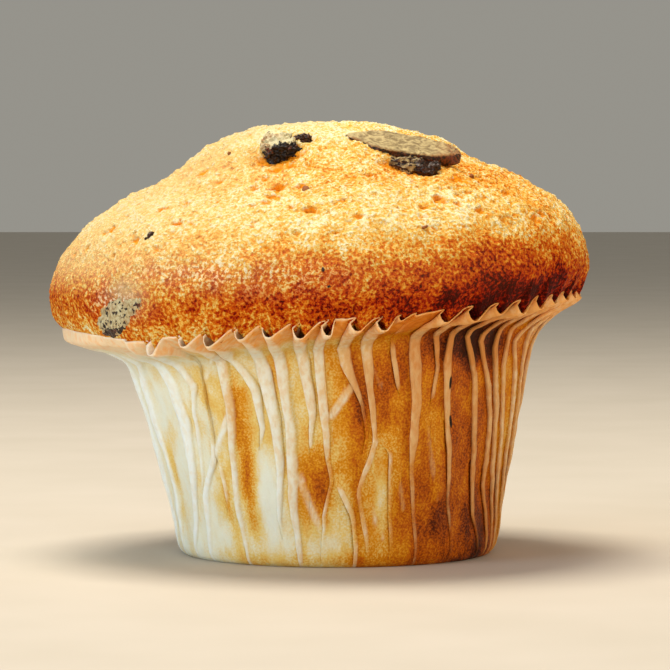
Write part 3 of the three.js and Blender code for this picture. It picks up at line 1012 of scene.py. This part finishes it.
def cake_finish():
    look = Finish("baked_crumb")
    bake, raised, sheen_and_crumbs, torn = (look.value(name) for name in ("bake", "raised", "sheen_and_crumbs", "torn"))
    fine = look.noise(0.33)
    grain = look.noise(0.55, 3.0, rough=0.6)
    patch = look.noise(3.4, 4.0, rough=0.6)
    depth = look.between(bake, 0.05, 0.4, 0.07, 0.14)
    tone = look.maths("MULTIPLY_ADD", look.between(patch, 0.32, 0.68, -1, 1), depth, bake)
    swing = look.maths("SUBTRACT", look.between(bake, 0.05, 0.45, 0.15, 0.26),
                       look.between(bake, 0.6, 0.9, 0, 0.08))
    # The grain's tone follows its bump, raised grains paler and dips darker: partly the crumb's own grain,
    # partly painted highlight and painted shade.
    tone = look.maths("MULTIPLY_ADD", look.between(grain, 0.3, 0.7, 1, -1), swing, tone)
    tone = look.maths("ADD", tone, look.between(fine, 0.3, 0.7, 0.06, -0.06))
    # Raised relief is painted paler: a painted highlight on the peaks.
    tone = look.maths("MULTIPLY_ADD", raised, -0.14, tone)
    skin = look.ramp(tone, (0.0, "E9E1BE"), (0.09, "E3CE90"), (0.18, "E1BC64"), (0.28, "DEA23E"),
                     (0.4, "D47E1C"), (0.52, "C45E08"), (0.64, "B84403"), (0.77, "961E01"),
                     (0.9, "620C01"), (1.0, "3C0801"))
    skin = look.blend(look.maths("MULTIPLY", look.value("dry"), 0.58), skin, "D0B682")
    # Torn hollows on the paler crust are painted a bright orange: a painted glow of light through the crumb.
    painted_pit_glow = look.maths("MULTIPLY", look.between(torn, 0.06, 0.45), look.between(bake, 0.6, 0.2, 0.4, 0.9))
    skin = look.blend(painted_pit_glow, skin, "F09412")
    # Pale grains: a painted sheen of highlights at the front, and pale crumb over the chunk under the crust.
    sheen_and_crumb_share = look.maths("MULTIPLY", sheen_and_crumbs, look.between(grain, 0.5, 0.62, 0, 0.65))
    skin = look.blend(sheen_and_crumb_share, skin, "F0DEC2")
    near = look.bump(grain, 0.9, 0.62)
    near = look.bump(fine, 0.9, 0.28, near)
    look.set(Base_Color=skin, Roughness=look.between(bake, 0.3, 0.9, 0.9, 0.6), Normal=near)
    look.set(Subsurface_Weight=0.1, Subsurface_Radius=(1.0, 0.45, 0.15), Subsurface_Scale=0.0012)
    look.set(Specular_IOR_Level=0.06)
    return look.material


# Dark slits in the paper beside a fold: centre, reach across, through and up, and turn.
SLITS = (((17.25, -24.4, 28.9), (0.26, 2.0, 1.4), 5.0), ((17.35, -23.2, 22.7), (0.24, 2.0, 1.2), -7.0))


def paper_finish():
    look = Finish("baking_paper")
    lifted, stain = look.value("lifted"), look.value("stain")
    speckle = look.noise(0.32)
    blotch = look.noise(3.2, 3.0, (1, 1, 0.45))
    fibre = look.noise(0.9, 3.0, (1, 1, 0.6))
    tone = look.maths("ADD", stain, look.between(blotch, 0.28, 0.72, -0.11, 0.11))
    grain = look.between(stain, 0.15, 0.55, 0.03, 0.1)
    tone = look.maths("MULTIPLY_ADD", look.between(speckle, 0.3, 0.7, -1, 1), grain, tone)
    soaked = look.ramp(tone, (0.0, "DADED0"), (0.13, "DAD7BE"), (0.3, "D8BA6C"), (0.48, "CC8812"),
                       (0.68, "AC5403"), (0.86, "6A2A03"), (1.0, "301001"))
    tint = look.maths("ADD", stain, look.between(fibre, 0.3, 0.7, -0.1, 0.1))
    # The palest dry paper is a blue-white: a painted cool light on the left of the case.
    dry = look.ramp(tint, (0.1, "E2EAE8"), (0.3, "DEDAC8"), (0.52, "D8B482"), (0.85, "C88848"))
    edge = look.maths("ADD", lifted, look.between(blotch, 0.3, 0.7, -0.22, 0.22))
    face = look.blend(look.between(edge, 0.25, 0.85, 0.0, 0.9), soaked, dry)
    # The flare's ramps paint the glow of light through the thin paper, peach and orange over its soaked and
    # dry tones, and brighten the panels against their shade.
    inner = look.ramp(tint, (0.1, "ECCCA4"), (0.35, "F09C40"), (0.6, "D8781C"), (0.85, "B85A12"))
    outer = look.ramp(tint, (0.1, "EEDCC2"), (0.35, "F0CCA0"), (0.6, "E6A65E"), (0.85, "DA8E42"))
    rim = look.blend(look.between(edge, 0.35, 1.0), inner, outer)
    face = look.blend(look.maths("MULTIPLY", look.value("flare"), 0.85), face, rim)
    for centre, reach, turn in SLITS:
        face = look.blend(look.spot(centre, reach, turn), face, "140C06")
    near = look.bump(look.noise(1.5, 4.0, (1, 1, 0.5)), 0.7, 0.45)
    near = look.bump(fibre, 0.4, 0.15, near)
    near = look.bump(speckle, 0.35, 0.08, near)
    look.set(Base_Color=face, Roughness=look.between(lifted, 0.2, 0.8, 0.45, 0.6), Normal=near)
    look.set(Subsurface_Weight=0.1, Subsurface_Radius=(1.0, 0.55, 0.25), Subsurface_Scale=0.0012)
    look.set(Specular_IOR_Level=0.12)
    return look.material


def chocolate_finish(name, dull, pale, swirl):
    """Chocolate, dark and a little glossy, under a dull film wherever the piece has one."""
    look = Finish(name)
    film, warm = look.value("film"), look.value("warm")
    fine = look.noise(0.35, 3.0, rough=0.6)
    streak = look.noise(swirl, 3.0, swirl=2.4)
    dark = look.ramp(fine, (0.3, "0B0705"), (0.55, "1D120B"), (0.72, "4A3122"))
    # Warm brown where a piece is marked warm: its own brown, and on the flake's edge a painted highlight.
    warm_tint = look.maths("MULTIPLY", warm, look.between(fine, 0.4, 0.6))
    dark = look.blend(warm_tint, dark, "6A2C0C")
    coat = look.blend(look.between(streak, 0.36, 0.66), dull, pale)
    tan = look.maths("MULTIPLY", warm, look.between(streak, 0.35, 0.6, 0.75, 0.35))
    coat = look.blend(tan, coat, "9A5E2A")
    coat = look.blend(look.between(fine, 0.45, 0.75, 0.0, 0.45), coat, "6B5233")
    cover = look.maths("ADD", film, look.between(fine, 0.3, 0.7, -0.3, 0.3))
    cover = look.between(cover, 0.3, 0.62)
    near = look.bump(streak, 0.35, 0.3)
    near = look.bump(fine, 0.6, 0.2, near)
    look.set(Base_Color=look.blend(cover, dark, coat), Normal=near,
             Roughness=look.between(cover, 0.0, 1.0, 0.28, 0.65))
    look.set(Specular_IOR_Level=0.3)
    return look.material


def floor_finish():
    floor = Finish("pale_floor")
    tone = floor.noise(30.0)
    floor.set(Base_Color=floor.ramp(tone, (0.3, "BDB6AB"), (0.7, "C2BBB1")), Roughness=0.75)
    return floor.material


# ---- the set

# Lengths here are in metres.
CAMERA_PLACE = (-0.0006, -0.6, 0.062)
CAMERA_DOWN = 2.57  # degrees below level that the camera looks
CAMERA_LENS = 200
SKY, SKY_STRENGTH = "F0ECE0", 0.35
LAMP_AIM = (0, 0, 0.04)
LAMPS = (
    # name, place, size, power and colour
    ("overhead", (-0.1, 0.08, 0.75), 0.35, 7.4, "FFF4E0"),
    ("window", (-0.75, -0.5, 0.3), 0.5, 4.6, "E2F0FF"),
    ("side", (0.8, -0.25, 0.25), 0.4, 2.2, "FFDDB0"),
    ("fill", (0.0, -1.0, 0.14), 0.7, 5.0, "FFEBD0"),
)


def make_set():
    bpy.ops.mesh.primitive_plane_add(size=6, location=(0, 0, 0))
    floor = added("floor")
    floor.data.materials.append(floor_finish())
    world = bpy.data.worlds.new("studio")
    bpy.context.scene.world = world
    world.use_nodes = True
    sky = world.node_tree.nodes["Background"]
    sky.inputs["Color"].default_value = colour(SKY)
    sky.inputs["Strength"].default_value = SKY_STRENGTH
    for name, place, size, power, tint in LAMPS:
        bpy.ops.object.light_add(type="AREA", location=place)
        lamp = bpy.context.active_object
        lamp.name = name
        lamp.data.size = size
        lamp.data.energy = power
        lamp.data.color = colour(tint)[:3]
        lamp.rotation_euler = (Vector(LAMP_AIM) - Vector(place)).to_track_quat("-Z", "Y").to_euler()


def make_camera():
    bpy.ops.object.camera_add(location=CAMERA_PLACE, rotation=(math.radians(90 - CAMERA_DOWN), 0, 0))
    camera = bpy.context.active_object
    camera.data.lens = CAMERA_LENS
    camera.data.sensor_width = 36
    bpy.context.scene.camera = camera
    bpy.context.scene.view_settings.view_transform = "Standard"


PIECES = (
    # piece, finish, slot and the CAD node that it stands for
    (make_cake, cake_finish(), "cake", "cake"),
    (make_case, paper_finish(), "paper", "paper_case"),
    (make_wafer, chocolate_finish("dull_flake", "776540", "B5A374", 2.2), "chocolate", "chocolate_wafer"),
    (make_lump, chocolate_finish("glossy_nugget", "B7AC84", "D6D0AC", 1.4), "chocolate", "chocolate_lump"),
    (make_rim_chunk, chocolate_finish("pitted_film", "A59468", "C9C19C", 1.8), "chocolate",
     "chocolate_rim_chunk"),
    (make_specks, chocolate_finish("dark_specks", "6E3008", "8E4810", 1.0), "chocolate", None),
)

make_set()
make_camera()
for make, finish, slot, node in PIECES:
    piece = make()
    piece.data.materials.clear()
    piece.data.materials.append(finish)
    if node:
        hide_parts(node)
    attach(piece, "root")
